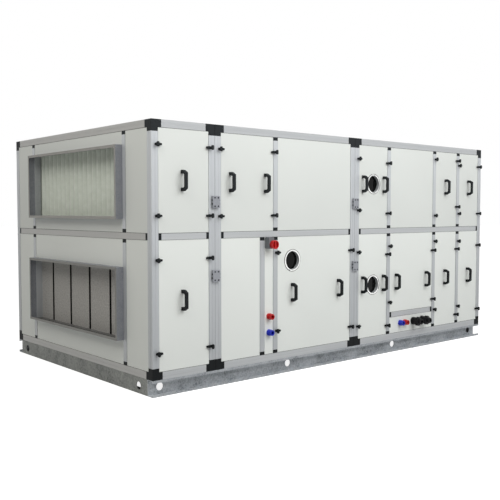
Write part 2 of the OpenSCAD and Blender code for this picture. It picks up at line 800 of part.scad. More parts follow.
// Isolator: a box with a lid on the services strip, with a bore for the knob's spindle
module rounded_plate(w, h, t, corner) {
  x = w / 2;
  y = h / 2;
  linear_extrude(t) polygon([
    [corner - x, -y], [x - corner, -y], [x, corner - y], [x, y - corner],
    [x - corner, y], [corner - x, y], [-x, y - corner], [-x, corner - y]
  ]);
}
module isolator_box() {
  seam = iso_d * 0.55;
  color("#6a6d70") place() translate([services_x, panel_inset, iso_z]) rotate([90, 0, 0]) difference() {
    translate([-iso_shift, iso_low, 0]) {
      rounded_plate(iso_w, iso_h, seam, iso_corner);
      rounded_plate(iso_w - 2 * iso_seam, iso_h - 2 * iso_seam, iso_d, iso_corner);
      translate([0, 0, seam + iso_seam]) rounded_plate(iso_w, iso_h, iso_d - seam - 2 * iso_seam, iso_corner);
    }
    translate([0, 0, iso_d - spindle_depth]) cylinder(h = spindle_depth + past, r = bore_r, $fn = 48);
  }
}
// Knob: a drum with a recessed face, a grip bar across the recess and a spindle
module isolator_knob() {
  recess = knob_l / 2;
  recess_r = knob_r - knob_wall;
  color("#af2323") place() translate([services_x, panel_inset - iso_d, iso_z]) rotate([90, 0, 0]) {
    translate([0, 0, bond - spindle_depth]) cylinder(h = spindle_depth + knob_gap, r = spindle_r, $fn = 48);
    translate([0, 0, knob_gap]) difference() {
      cylinder(h = knob_l, r = knob_r, $fn = 64);
      translate([0, 0, knob_l - recess]) cylinder(h = recess + past, r = recess_r, $fn = 64);
    }
    translate([-knob_grip / 2, -recess_r - bond, knob_gap + knob_l - recess - bond])
      cube([knob_grip, 2 * (recess_r + bond), recess]);
  }
}

// Pipe connection on the axis of its pipe, with a collar and an open bore
module stub() {
  step = stub_l / 2;
  edge = stub_r / 10;
  inner_r = stub_r - edge - pipe_wall;
  rotate([90, 0, 0]) rotate_extrude($fn = 48)
    polygon([
      [0, 0], [stub_r, 0], [stub_r, step], [stub_r - edge, step], [stub_r - edge, stub_l - edge],
      [stub_r - 2 * edge, stub_l], [inner_r, stub_l], [inner_r, stub_l - pipe_bore_d], [0, stub_l - pipe_bore_d]
    ]);
}
cooler_x0 = col_3b[0] + cooler_x;
module pipe_stubs_flow() {
  color("#af2323") place() {
    translate([services_x, panel_inset, low_z0 + heater_flow_z]) stub();
    translate([cooler_x0 + cooler_pitch, panel_inset, low_z0 + cooler_z]) stub();
  }
}
module pipe_stubs_return() {
  color("#2332b4") place() {
    translate([services_x, panel_inset, low_z0 + heater_return_z]) stub();
    translate([cooler_x0, panel_inset, low_z0 + cooler_z]) stub();
  }
}

// Drain union: collar on the panel, neck, clamping nut with grip ribs, and tail with an open bore
module drain_unions() {
  nut_end = union_nut_z + union_nut_l;
  nut_r = union_r - nut_rib_r;
  edge = union_r / 10;
  inner_r = union_tail_r - pipe_wall;
  color("#202022") place()
    for (i = [0, 1])
      translate([col_3b[0] + union_x + i * union_pitch, panel_inset, low_z0 + cooler_z]) rotate([90, 0, 0]) {
        rotate_extrude($fn = 48)
          polygon([
            [0, 0], [union_collar_r, 0], [union_collar_r, union_collar_l], [union_neck_r, union_collar_l],
            [union_neck_r, union_nut_z], [nut_r - edge, union_nut_z],
            [nut_r, union_nut_z + edge], [nut_r, nut_end - edge], [nut_r - edge, nut_end],
            [union_tail_r, nut_end], [union_tail_r, union_l - edge], [union_tail_r - edge, union_l],
            [inner_r, union_l], [inner_r, union_l - pipe_bore_d], [0, union_l - pipe_bore_d]
          ]);
        for (k = [0:nut_ribs - 1])
          rotate([0, 0, (k + 0.5) * 360 / nut_ribs]) translate([nut_r, 0, union_nut_z + edge + bond])
            cylinder(h = union_nut_l - 2 * (edge + bond), r = nut_rib_r, $fn = 24);
      }
}

// Blocks that bolt two sections together across their posts, with screws in front and at their sides
joint_xs = [section_1_l + seal_t / 2, section_3_x0 - seal_t / 2];
joint_zs = [up_z0 + joint_up_z, low_z0 + joint_low_z];
module joint_blocks() {
  edge = joint_d / 8;
  color("#84878c") place()
    for (x = joint_xs, z = joint_zs)
      translate([x, 0, z - joint_h / 2]) linear_extrude(joint_h)
        polygon([
          [-joint_w / 2, 0], [-joint_w / 2, edge - joint_d], [edge - joint_w / 2, -joint_d],
          [joint_w / 2 - edge, -joint_d], [joint_w / 2, edge - joint_d], [joint_w / 2, 0]
        ]);
}
module screw_head() {
  difference() {
    cylinder(h = joint_screw_r * 0.7, r = joint_screw_r, $fn = 24);
    translate([0, 0, joint_screw_r * 0.3]) cylinder(h = joint_screw_r, r = joint_screw_r / 2, $fn = 6);
  }
}
module joint_screws() {
  front_x = joint_w * 0.24;
  front_z = joint_h * 0.35;
  side_z = joint_h * 0.16;
  color("#5a5c60") place()
    for (x = joint_xs, z = joint_zs) translate([x, 0, z]) {
      for (a = [-front_x, front_x], b = [-front_z, front_z])
        translate([a, -joint_d, b]) rotate([90, 0, 0]) screw_head();
      for (side = [-1, 1], b = [-side_z, side_z])
        translate([side * joint_w / 2, -joint_d / 2, b]) rotate([0, side * 90, 0]) screw_head();
    }
}

// Base rail: a lipped channel with its open side to the outside, drilled for lifting bars
module channel_section() {
  difference() {
    square([base_flange, base_h]);
    translate([base_t, base_t]) square([base_flange - 2 * base_t, base_h - 2 * base_t]);
    translate([-past, base_lip]) square([base_t + 2 * past, base_h - 2 * base_lip]);
  }
}
module lift_hole() { rotate([90, 0, 0]) cylinder(h = 3 * base_flange, r = lift_r, center = true, $fn = 64); }
lift_xs = [lift_end, casing_l / 3, 2 * casing_l / 3, casing_l - lift_end];
module long_rail() {
  difference() {
    on_left() linear_extrude(casing_l) channel_section();
    for (x = lift_xs) translate([x, 0, lift_z]) lift_hole();
  }
}
module base_rail_front() { color("#808486") place() long_rail(); }
module base_rail_back() { color("#808486") place() flip([0, 1, 0], casing_w, 1) long_rail(); }

// End rail: a channel between the long rails, with its web at the end of the casing
module end_rail() {
  difference() {
    translate([base_flange, base_flange, 0]) mirror([1, 0, 0]) on_front()
      linear_extrude(casing_w - 2 * base_flange) channel_section();
    for (y = [lift_side, casing_w - lift_side])
      translate([0, y, lift_z]) rotate([0, 0, 90]) lift_hole();
  }
}
module base_rail_left() { color("#808486") place() end_rail(); }
module base_rail_right() { color("#808486") place() flip([1, 0, 0], casing_l, 1) end_rail(); }

// Channels across the base under the section joints
module base_cross_members() {
  color("#808486") place()
    for (x = [section_1_l, section_3_x0 - seal_t])
      translate([x + seal_t / 2 - base_flange / 2, base_flange, 0]) on_front()
        linear_extrude(casing_w - 2 * base_flange) channel_section();
}

base_rail_front();
base_rail_back();
base_rail_left();
base_rail_right();
base_cross_members();
frame_section_1();
frame_section_2();
frame_section_3();
section_seals();
corner_blocks();
rail_connectors();
rails_and_mullions_front();
rails_and_mullions_back();
rails_and_mullions_ends();
mullions_roof_floor();
doors_section_1();
doors_section_2();
doors_section_3_upper();
doors_section_3_lower();
panels_section_2();
panels_section_3();
end_panels_left();
end_panels_right();
back_panels();
roof_panels();
floor_panels();
deck_panels();
duct_collar_left_upper();
duct_collar_left_lower();
duct_collar_right_upper();
duct_collar_right_lower();
filter_banks();
attenuator_baffles();
door_handles();
panel_clamps();
sight_glass_frames();
sight_glass_panes();
isolator_box();
isolator_knob();
pipe_stubs_flow();
pipe_stubs_return();
drain_unions();
joint_blocks();
joint_screws();
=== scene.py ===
# %% [markdown]
# # A double-deck air handling unit
# The unit is a steel box as long as a van. Aluminium profiles make its skeleton, pale sandwich
# panels close it, and black plastic joins, clamps and handles stand out on the white.
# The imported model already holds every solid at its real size. This lesson gives each surface its
# finish and adds what is too fine for the solids: the rubber seals in the panel joints, the gaskets
# of the sight glasses and the small rounds on plastic edges.

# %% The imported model
import math

import bpy
import numpy as np
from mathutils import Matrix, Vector


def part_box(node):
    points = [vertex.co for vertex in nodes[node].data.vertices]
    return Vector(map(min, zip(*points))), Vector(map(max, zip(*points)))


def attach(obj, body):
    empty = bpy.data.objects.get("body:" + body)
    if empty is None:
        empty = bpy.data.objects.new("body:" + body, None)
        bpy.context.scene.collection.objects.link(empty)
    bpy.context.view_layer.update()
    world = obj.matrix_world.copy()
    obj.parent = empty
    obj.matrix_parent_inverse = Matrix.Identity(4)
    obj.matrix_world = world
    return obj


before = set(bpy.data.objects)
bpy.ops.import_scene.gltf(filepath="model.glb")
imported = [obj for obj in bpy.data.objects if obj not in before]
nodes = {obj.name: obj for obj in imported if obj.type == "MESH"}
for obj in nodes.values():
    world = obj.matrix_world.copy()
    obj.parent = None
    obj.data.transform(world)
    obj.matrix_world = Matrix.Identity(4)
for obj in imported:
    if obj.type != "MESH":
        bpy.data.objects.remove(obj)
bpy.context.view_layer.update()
MM = 0.001

# %% [markdown]
# ## Camera
# The picture was taken from about eye height, a little to the left of the near corner. The lens
# and the place come from the unit's straight edges: parallel edges meet at a vanishing point, and
# two such points fix the focal length. The place is written from the casing's near corner, so it
# follows the model.

# %% Camera at the photograph's viewing angle
IMAGE_PX = 500
FOCAL_PX = 736.1
SENSOR_MM = 36.0
CAMERA_FROM_CORNER = Vector((-3.056, -4.723, 1.430))
CAMERA_TURN = math.radians(40.51)
CAMERA_DIP = math.radians(3.00)

casing_low, casing_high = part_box("corner_blocks")
near_corner = Vector((casing_low.x, casing_low.y, 0.0))
looking = Vector((
    math.sin(CAMERA_TURN) * math.cos(CAMERA_DIP),
    math.cos(CAMERA_TURN) * math.cos(CAMERA_DIP),
    -math.sin(CAMERA_DIP),
))
scene = bpy.context.scene
camera = bpy.data.objects.new("camera", bpy.data.cameras.new("camera"))
camera.data.sensor_width = SENSOR_MM
camera.data.lens = FOCAL_PX / IMAGE_PX * SENSOR_MM
camera.location = near_corner + CAMERA_FROM_CORNER
camera.rotation_euler = looking.to_track_quat("-Z", "Y").to_euler()
scene.collection.objects.link(camera)
scene.camera = camera
scene.view_settings.view_transform = "Standard"
print("camera at", [round(v, 2) for v in camera.location], "lens", round(camera.data.lens, 1), "mm")

# %% [markdown]
# ## One way to write colours and nodes
# Paint charts and screens give colours as sRGB, but the shader mixes light in linear values. One
# function turns a hex colour into linear. One more adds a node with its settings and its links, so
# that a material reads as a short list. Pattern sizes are written in millimetres and turned into
# repeats per metre, because the model is in metres.

# %% Helpers for materials
def linear(hex_colour):
    """An sRGB hex colour as linear RGBA."""
    parts = [int(hex_colour[i:i + 2], 16) / 255 for i in (1, 3, 5)]
    return [p / 12.92 if p <= 0.04045 else ((p + 0.055) / 1.055) ** 2.4 for p in parts] + [1.0]


def per_mm(size):
    """Repeats per metre of a pattern with this size in millimetres."""
    return 1.0 / (size * MM)


def set_inputs(tree, node, inputs):
    """Sets a node's sockets: another node's output is linked, anything else is a plain value."""
    for name, value in inputs.items():
        if isinstance(value, bpy.types.NodeSocket):
            tree.links.new(value, node.inputs[name])
        else:
            node.inputs[name].default_value = value


def add_node(tree, kind, settings=None, inputs=None, stops=None):
    """Adds one node. stops are the places and hex colours of a colour ramp."""
    node = tree.nodes.new(kind)
    for name, value in (settings or {}).items():
        setattr(node, name, value)
    for i, (place, colour) in enumerate(stops or []):
        ramp = node.color_ramp.elements
        stop = ramp[i] if i < 2 else ramp.new(place)
        stop.position = place
        stop.color = linear(colour)
    set_inputs(tree, node, inputs or {})
    return node


def new_material(name):
    """An empty material, its node tree, its shader and the place on the object in metres."""
    material = bpy.data.materials.new(name)
    material.use_nodes = True
    tree = material.node_tree
    shader = tree.nodes["Principled BSDF"]
    place = add_node(tree, "ShaderNodeTexCoord").outputs["Object"]
    return material, tree, shader, place


print("white is", [round(v, 3) for v in linear("#FFFFFF")])

# %% [markdown]
# ## Sky
# The unit stands in a bright, plain studio. The camera, mirrors and glasses see a white room. The
# light that fills the shadows comes from a much dimmer sky, because a white one would wash out all
# shade. It is weakest and a little warm on the left, which the duct end faces, and brighter on the
# right and behind.

# %% Sky
FILL_LEFT = 0.08
FILL_RIGHT = 0.59
FILL_BEHIND = 0.50


def seen_directly(tree):
    """One for rays from the camera, a mirror or a glass, zero for rays that carry light around."""
    path = add_node(tree, "ShaderNodeLightPath")
    first = add_node(tree, "ShaderNodeMath", {"operation": "ADD"}, {
        0: path.outputs["Is Camera Ray"], 1: path.outputs["Is Glossy Ray"]})
    both = add_node(tree, "ShaderNodeMath", {"operation": "ADD", "use_clamp": True}, {
        0: first.outputs[0], 1: path.outputs["Is Transmission Ray"]})
    return both.outputs[0]


world = bpy.data.worlds.new("studio")
world.use_nodes = True
scene.world = world
sky = world.node_tree
towards = add_node(sky, "ShaderNodeTexCoord").outputs["Generated"]
split = add_node(sky, "ShaderNodeSeparateXYZ", inputs={"Vector": towards})
sides = add_node(sky, "ShaderNodeMapRange", inputs={
    "Value": split.outputs["X"], "From Min": -1.0, "From Max": 1.0,
    "To Min": FILL_LEFT, "To Max": FILL_RIGHT})
warmth = add_node(sky, "ShaderNodeValToRGB", inputs={"Fac": split.outputs["X"]},
                  stops=[(0.0, "#FFFCF4"), (0.5, "#FFFFFF")])
behind = add_node(sky, "ShaderNodeMapRange", inputs={
    "Value": split.outputs["Y"], "From Min": 0.0, "From Max": 1.0,
    "To Min": 0.0, "To Max": FILL_BEHIND})
strength = add_node(sky, "ShaderNodeMath", {"operation": "ADD"}, {
    0: sides.outputs[0], 1: behind.outputs[0]})
fill = add_node(sky, "ShaderNodeBackground", inputs={
    "Color": warmth.outputs["Color"], "Strength": strength.outputs[0]})
room = add_node(sky, "ShaderNodeBackground", inputs={"Color": linear("#FFFFFF"), "Strength": 1.0})
shown = add_node(sky, "ShaderNodeMixShader", inputs={
    0: seen_directly(sky), 1: fill.outputs[0], 2: room.outputs[0]})
set_inputs(sky, sky.nodes["World Output"], {"Surface": shown.outputs[0]})
print("sky from", FILL_LEFT, "on the left to", FILL_RIGHT, "on the right")

# %% [markdown]
# ## Light panels
# Two large soft panels of light do the main work. One hangs high in front of the unit, so the access
# side is fully lit and fades a little towards the ground. The other is weaker and slightly warm. It
# hangs over the duct end and lights it from above, so the collars throw a soft shade on what lies
# below them. Neither is mirrored, so no glare slides over the roof.

# %% Light panels
FRONT_PANEL = {"watts": 388.0, "size": (7.0, 4.0), "tint": "#FFFFFF",
               "place": Vector((0.1, -6.4, 5.6)), "aim": Vector((-0.1, -1.0, 1.0))}
END_PANEL = {"watts": 113.0, "size": (4.0, 3.0), "tint": "#FFFCF6",
             "place": Vector((-5.6, -2.0, 5.2)), "aim": Vector((-2.3, -0.4, 1.2))}


def light_panel(name, watts, size, tint, place, aim):
    """A flat rectangle of light that looks at a point."""
    light = bpy.data.objects.new(name, bpy.data.lights.new(name, "AREA"))
    light.data.shape = "RECTANGLE"
    light.data.size, light.data.size_y = size
    light.data.energy = watts
    light.data.color = linear(tint)[:3]
    light.visible_glossy = False
    light.location = place
    light.rotation_euler = (aim - place).to_track_quat("-Z", "Y").to_euler()
    scene.collection.objects.link(light)


light_panel("front_panel", **FRONT_PANEL)
light_panel("end_panel", **END_PANEL)
print("front panel", FRONT_PANEL["watts"], "W, end panel", END_PANEL["watts"], "W")

# %% [markdown]
# ## Floor
# A painted floor reaches to the horizon. The camera sees it glow almost white, with just enough of a
# matt surface left to keep a weak shadow of the unit. The light that it throws back up is that of
# the plain grey paint.

# %% Floor
FLOOR_SIDE = 120.0
FLOOR_GLOW = 0.87

half_floor = FLOOR_SIDE / 2
floor_mesh = bpy.data.meshes.new("floor")
floor_mesh.from_pydata(
    [(-half_floor, -half_floor, 0), (half_floor, -half_floor, 0),
     (half_floor, half_floor, 0), (-half_floor, half_floor, 0)], [], [(0, 1, 2, 3)])
floor = bpy.data.objects.new("floor", floor_mesh)
scene.collection.objects.link(floor)
floor_paint, floor_tree, floor_shader, _ = new_material("matt_pale_floor_paint")
set_inputs(floor_tree, floor_shader, {
    "Base Color": linear("#ACACAC"), "Roughness": 0.9, "Specular IOR Level": 0.1})
shade = add_node(floor_tree, "ShaderNodeBsdfDiffuse", inputs={"Color": linear("#AAAAAA")})
glow = add_node(floor_tree, "ShaderNodeEmission", inputs={
    "Color": linear("#FFFFFF"), "Strength": FLOOR_GLOW})
looked_at = add_node(floor_tree, "ShaderNodeAddShader", inputs={
    0: glow.outputs[0], 1: shade.outputs[0]})
floor_shown = add_node(floor_tree, "ShaderNodeMixShader", inputs={
    0: seen_directly(floor_tree), 1: floor_shader.outputs[0], 2: looked_at.outputs[0]})
set_inputs(floor_tree, floor_tree.nodes["Material Output"], {"Surface": floor_shown.outputs[0]})
floor_mesh.materials.append(floor_paint)
print("floor", FLOOR_SIDE, "m wide")

# %% [markdown]
# ## Coil-coated steel
# The panels' skins are steel that was painted as a flat coil and folded later. The polyester film
# is even and half matt, with a very fine orange peel. A slow drift of tone keeps a two-metre sheet
# from looking like plastic. The peel is a fraction of a millimetre high, so it is drawn coarser
# than it is and very low.
# Each row of panels is painted darker slowly from its top to its bottom: painted shade, as if the
# foam pushed each skin out so that its upper part leaned to the light and its lower part to the
# ground. Bent skins would need many faces, so a ramp over the height paints this shade.

# %% Coil-coated steel for doors and panels
DRIFT_MM = 1400
PEEL_MM = 6
PEEL_HEIGHT = 0.4 * MM
ROW_EDGE = 0.005

deck_low, deck_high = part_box("deck_panels")
deck_level = ((deck_low.z + deck_high.z) / 2 - casing_low.z) / (casing_high.z - casing_low.z)


def coil_coated_steel():
    """The panels' paint with painted shade down each row, parted at the deck between the air streams.
    """
    material, tree, shader, place = new_material("coil_coated_steel")
    drift = add_node(tree, "ShaderNodeTexNoise", inputs={
        "Vector": place, "Scale": per_mm(DRIFT_MM), "Detail": 2.0})
    tone = add_node(tree, "ShaderNodeValToRGB", inputs={"Fac": drift.outputs["Fac"]},
                    stops=[(0.3, "#E7EBE8"), (0.7, "#ECF0ED")])
    height = add_node(tree, "ShaderNodeSeparateXYZ", inputs={"Vector": place})
    level = add_node(tree, "ShaderNodeMapRange", inputs={
        "Value": height.outputs["Z"], "From Min": casing_low.z, "From Max": casing_high.z})
    # Painted shade: each row darkens from its top to its bottom.
    row_shade = add_node(tree, "ShaderNodeValToRGB", inputs={"Fac": level.outputs[0]}, stops=[
        (0.0, "#F8F8F8"), (deck_level - ROW_EDGE, "#FFFFFF"),
        (deck_level + ROW_EDGE, "#F2F2F2"), (1.0, "#F9F9F9")])
    row_shaded = add_node(tree, "ShaderNodeVectorMath", {"operation": "MULTIPLY"}, {
        0: tone.outputs["Color"], 1: row_shade.outputs["Color"]})
    peel = add_node(tree, "ShaderNodeTexNoise", inputs={
        "Vector": place, "Scale": per_mm(PEEL_MM), "Detail": 3.0})
    bump = add_node(tree, "ShaderNodeBump", inputs={
        "Height": peel.outputs["Fac"], "Strength": 0.04, "Distance": PEEL_HEIGHT})
    set_inputs(tree, shader, {"Base Color": row_shaded.outputs[0], "Roughness": 0.48,
                              "Specular IOR Level": 0.25, "Normal": bump.outputs["Normal"]})
    return material


panel_paint = coil_coated_steel()
print("made", panel_paint.name, "with its rows parted at", round(deck_level, 3), "of the height")

# %% [markdown]
# ## Extruded aluminium
# The profiles come out of a die, which leaves fine draw lines along their length. The lines run
# with each bar, so there is one material for each direction and every bar takes the one it needs.
# The three also differ in tone, as painted light and shade: the bars along Y, which frame the ends,
# are painted darker and warmer, and the upright bars are painted lighter.
# The metal has a thin grey oxide and isn't polished, so it is only partly mirror-like. A bar mirrors
# the pale upper part of the room at the top and the dimmer floor at the bottom. That reflection is
# painted into the colour: a painted reflection that darkens the cool grey towards the ground, most
# of all on upright bars. The real lines are finer than a pixel and are drawn coarser, so that they
# show.

# %% Extruded aluminium along X, Y and Z
DRAW_LINE_MM = 5.0
DRAW_LENGTH_MM = 900.0
DRAW_DEPTH = 0.2 * MM
ALUMINIUM_LIT_AND_SHADED_TONES = (("#B4B7BA", "#C4C7C9"), ("#AFAFAD", "#BDBDBB"), ("#C3C7CB", "#D3D7DB"))
REFLECTION_FADE_FROM_M = 0.2
REFLECTION_FADE_TO_M = (1.0, 2.0, 2.0)
REFLECTION_FADE_LOWEST = (0.89, 0.88, 0.68)


def toned(tree, colour, measure, start, end, start_tone, end_tone):
    """The colour times a tone, which changes evenly while the measure goes from start to end."""
    tone = add_node(tree, "ShaderNodeMapRange", inputs={
        "Value": measure, "From Min": start, "From Max": end,
        "To Min": start_tone, "To Max": end_tone})
    product = add_node(tree, "ShaderNodeVectorMath", {"operation": "SCALE"}, {
        0: colour, "Scale": tone.outputs[0]})
    return product.outputs[0]


def extruded_aluminium(axis):
    """Aluminium with draw lines along one axis, a painted tone for that axis and a painted
    reflection.
    """
    # Painted light and shade: each axis has its own lighter or darker tone.
    dark, bright = ALUMINIUM_LIT_AND_SHADED_TONES[axis]
    material, tree, shader, place = new_material("extruded_aluminium_" + "xyz"[axis])
    stretch = [per_mm(DRAW_LINE_MM)] * 3
    stretch[axis] = per_mm(DRAW_LENGTH_MM)
    lines = add_node(tree, "ShaderNodeMapping", inputs={"Vector": place, "Scale": stretch})
    draw = add_node(tree, "ShaderNodeTexNoise", inputs={
        "Vector": lines.outputs[0], "Scale": 1.0, "Detail": 4.0})
    tone = add_node(tree, "ShaderNodeValToRGB", inputs={"Fac": draw.outputs["Fac"]},
                    stops=[(0.25, dark), (0.75, bright)])
    # Painted reflection: the colour darkens towards the ground.
    height = add_node(tree, "ShaderNodeSeparateXYZ", inputs={"Vector": place}).outputs["Z"]
    reflection_faded = toned(tree, tone.outputs["Color"], height, REFLECTION_FADE_FROM_M, REFLECTION_FADE_TO_M[axis],
                  REFLECTION_FADE_LOWEST[axis], 1.0)
    gloss = add_node(tree, "ShaderNodeMapRange", inputs={
        "Value": draw.outputs["Fac"], "To Min": 0.38, "To Max": 0.56})
    bump = add_node(tree, "ShaderNodeBump", inputs={
        "Height": draw.outputs["Fac"], "Strength": 0.10, "Distance": DRAW_DEPTH})
    set_inputs(tree, shader, {"Base Color": reflection_faded, "Metallic": 0.2,
                              "Roughness": gloss.outputs[0], "Normal": bump.outputs["Normal"]})
    return material


aluminium = [extruded_aluminium(axis) for axis in range(3)]
print("made", [m.name for m in aluminium])

# %% [markdown]
# ## Galvanised steel
# The base rails were dipped in molten zinc. The zinc freezes into flat crystals, the spangle, about
# 12 mm across, each with its own grey. Voronoi cells have that shape, and the same cells also set
# how dull each crystal is. A slow noise over many crystals stains the sheet.
# The long rails are painted darker near their foot and lighter above: painted light and shade that
# evens out the shade which their top flange casts. Their lips are a darker grey. The end rails are a
# darker copy, painted shade of the unit's ends, with runs drawn upwards. The duct collars are
# thinner sheet with a finer spangle, folded at the lips, and their floors are painted dark: painted
# shade.

# %% Galvanised steel for the base, thin zinc sheet for the collars
STAIN_SPANGLES = 12
SPANGLE_SHARE = 0.6
SHADE_RAMP_FROM_M = 0.02
SHADE_RAMP_TO_M = 0.11
SHADE_RAMP_LOWEST = 0.88
SHADE_RAMP_HIGHEST = 1.28


def zinc_sheet(name, spangle_mm, dark, middle, bright, metal=0.05, run=1.0, shade_ramp=False):
    """Zinc with a spangle of this size. run draws the pattern out upwards, as drips do. shade_ramp
    paints it darker towards the ground and lighter above: painted light and shade."""
    material, tree, shader, place = new_material(name)
    drawn = add_node(tree, "ShaderNodeMapping", inputs={
        "Vector": place, "Scale": (1.0, 1.0, 1.0 / run)}).outputs[0]
    cells = add_node(tree, "ShaderNodeTexVoronoi", inputs={
        "Vector": drawn, "Scale": per_mm(spangle_mm)})
    stain = add_node(tree, "ShaderNodeTexNoise", inputs={
        "Vector": drawn, "Scale": per_mm(spangle_mm * STAIN_SPANGLES), "Detail": 4.0})
    both = add_node(tree, "ShaderNodeMath", {"operation": "MULTIPLY_ADD"}, {
        0: cells.outputs["Color"], 1: SPANGLE_SHARE, 2: stain.outputs["Fac"]})
    centred = add_node(tree, "ShaderNodeMath", {"operation": "SUBTRACT"}, {
        0: both.outputs[0], 1: SPANGLE_SHARE / 2})
    tone = add_node(tree, "ShaderNodeValToRGB", inputs={"Fac": centred.outputs[0]},
                    stops=[(0.15, dark), (0.85, bright), (0.38, middle)])
    colour = tone.outputs["Color"]
    # Painted light and shade: darker at the foot, lighter above.
    if shade_ramp:
        height = add_node(tree, "ShaderNodeSeparateXYZ", inputs={"Vector": place}).outputs["Z"]
        colour = toned(tree, colour, height, SHADE_RAMP_FROM_M, SHADE_RAMP_TO_M,
                       SHADE_RAMP_LOWEST, SHADE_RAMP_HIGHEST)
    gloss = add_node(tree, "ShaderNodeMapRange", inputs={
        "Value": cells.outputs["Color"], "To Min": 0.42, "To Max": 0.62})
    set_inputs(tree, shader, {"Base Color": colour, "Metallic": metal,
                              "Roughness": gloss.outputs[0], "Specular IOR Level": 0.25})
    return material


# Painted light and shade up the long rails and the cross members.
galvanised_steel = zinc_sheet(
    "galvanised_steel", 12, "#858A8F", "#B0B5BA", "#D0D4D8", shade_ramp=True)
# A darker grey for the outer faces of the long rails' lips.
darker_lip_zinc = zinc_sheet("darker_galvanised_lip", 11, "#7D8186", "#9DA2A7", "#B3B7BB")
# The end rails: a darker copy, painted shade of the unit's ends, with runs drawn upwards.
shaded_galvanised_ends = zinc_sheet(
    "galvanised_steel_with_runs_and_painted_shade", 13, "#5C5F5D", "#7A7D7B", "#9DA09D", run=1.1)
collar_sheet = zinc_sheet("zinc_coated_sheet", 9, "#818489", "#898C93", "#93959B")
# Painted light on the upper collars' lips.
lit_collar_lip = zinc_sheet("zinc_coated_lip_painted_light", 9, "#959491", "#9B9A97", "#A2A19E")
# Painted shade on the lower collars' lips.
shaded_collar_lip = zinc_sheet("zinc_coated_lip_painted_shade", 9, "#7B7B79", "#82827F", "#898987")
# Painted shade on the collars' floors and the sills behind them.
shade_sheet = zinc_sheet("zinc_coated_sheet_painted_shade", 9, "#646464", "#6C6C6B", "#747473")
# The deck's inner sheet. It also paints shade on the rings' barrels and the filter jambs.
inner_and_shade_sheet = zinc_sheet(
    "zinc_coated_inner_sheet_and_painted_shade", 9, "#9DA2A5", "#A9ADAF", "#B3B7B9", metal=0.1)
print("made", galvanised_steel.name, collar_sheet.name, inner_and_shade_sheet.name)

# %% [markdown]
# ## Bright rings
# The sight glasses sit in turned rings of anodised aluminium. They are brighter and smoother than
# the profiles. Their turning marks are too fine to draw one by one, and only widen the reflection,
# so a noise in the roughness stands for them.

# %% Anodised aluminium for the sight-glass rings
TURNING_MM = 3

bright_ring, ring_tree, ring_shader, ring_place = new_material("anodised_aluminium")
marks = add_node(ring_tree, "ShaderNodeTexNoise", inputs={
    "Vector": ring_place, "Scale": per_mm(TURNING_MM), "Detail": 3.0})
ring_gloss = add_node(ring_tree, "ShaderNodeMapRange", inputs={
    "Value": marks.outputs["Fac"], "To Min": 0.10, "To Max": 0.20})
set_inputs(ring_tree, ring_shader, {"Base Color": linear("#F1F2F1"), "Metallic": 1.0,
                                    "Roughness": ring_gloss.outputs[0]})
print("made", bright_ring.name)

# %% [markdown]
# ## Plastics, rubber and small castings
# Corner pieces, clamps and handles are glass-filled nylon: black, matt, with the fine grain of an
# eroded mould. Towards the top of the unit it is painted paler, painted light, because more light
# reaches it there. The pipe caps and the switch knob are smoother coloured plastic. The seals are
# EPDM, a rubber that reflects almost nothing. The joint blocks are die-cast zinc under grey lacquer
# and their screws are plated dark. Both have the same kind of fine grain, so one function makes
# them all.

# %% Moulded plastics, rubber and lacquered castings
GRAIN_HEIGHT = 0.3 * MM
TOP_LIGHT_FROM_M = 0.2
TOP_LIGHT_TO_M = 2.0


def moulded(name, low_colour, high_colour, roughness, shine, grain_mm, grain_strength, top_light=1.0):
    """A surface with a fine grain. top_light paints it paler towards the top of the unit: painted
    light.
    """
    material, tree, shader, place = new_material(name)
    grain = add_node(tree, "ShaderNodeTexNoise", inputs={
        "Vector": place, "Scale": per_mm(grain_mm), "Detail": 2.0})
    tone = add_node(tree, "ShaderNodeValToRGB", inputs={"Fac": grain.outputs["Fac"]},
                    stops=[(0.3, low_colour), (0.7, high_colour)])
    colour = tone.outputs["Color"]
    # Painted light: paler towards the top of the unit.
    if top_light > 1.0:
        height = add_node(tree, "ShaderNodeSeparateXYZ", inputs={"Vector": place}).outputs["Z"]
        colour = toned(tree, colour, height, TOP_LIGHT_FROM_M, TOP_LIGHT_TO_M, 1.0, top_light)
    bump = add_node(tree, "ShaderNodeBump", inputs={
        "Height": grain.outputs["Fac"], "Strength": grain_strength, "Distance": GRAIN_HEIGHT})
    set_inputs(tree, shader, {"Base Color": colour, "Roughness": roughness,
                              "Specular IOR Level": shine, "Normal": bump.outputs["Normal"]})
    return material


black_nylon = moulded("glass_filled_nylon", "#191B1C", "#1E2022", 0.55, 0.07, 2.5, 0.15, top_light=2.4)
union_plastic = moulded("black_polypropylene", "#0F1011", "#151617", 0.42, 0.2, 6.0, 0.08)
seal_rubber = moulded("epdm_rubber", "#161616", "#1E1E1E", 0.8, 0.15, 3.0, 0.1)
red_plastic = moulded("red_polypropylene", "#B51C1D", "#C22224", 0.38, 0.3, 8.0, 0.05)
blue_plastic = moulded("blue_polypropylene", "#1C2BAE", "#2535BC", 0.38, 0.3, 8.0, 0.05)
grey_plastic = moulded("grey_polycarbonate", "#6A6E72", "#74787C", 0.5, 0.3, 3.0, 0.1)
cast_zinc = moulded("die_cast_zinc", "#90939A", "#9EA1A8", 0.45, 0.4, 5.0, 0.12)
dark_screws = moulded("dark_plated_steel", "#1C1E22", "#282A2F", 0.4, 0.3, 4.0, 0.05)
print("made", [m.name for m in (black_nylon, seal_rubber, red_plastic, blue_plastic, grey_plastic)])

# %% [markdown]
# ## Foam between the sections
# The sections are pressed together on a strip of grey foam. Between two posts it shows as a faint
# line. Behind the black corner pieces at its ends it is painted black, so that no pale line cuts
# them. The paint goes by the distance from the middle of the strip, so one material does both ends.

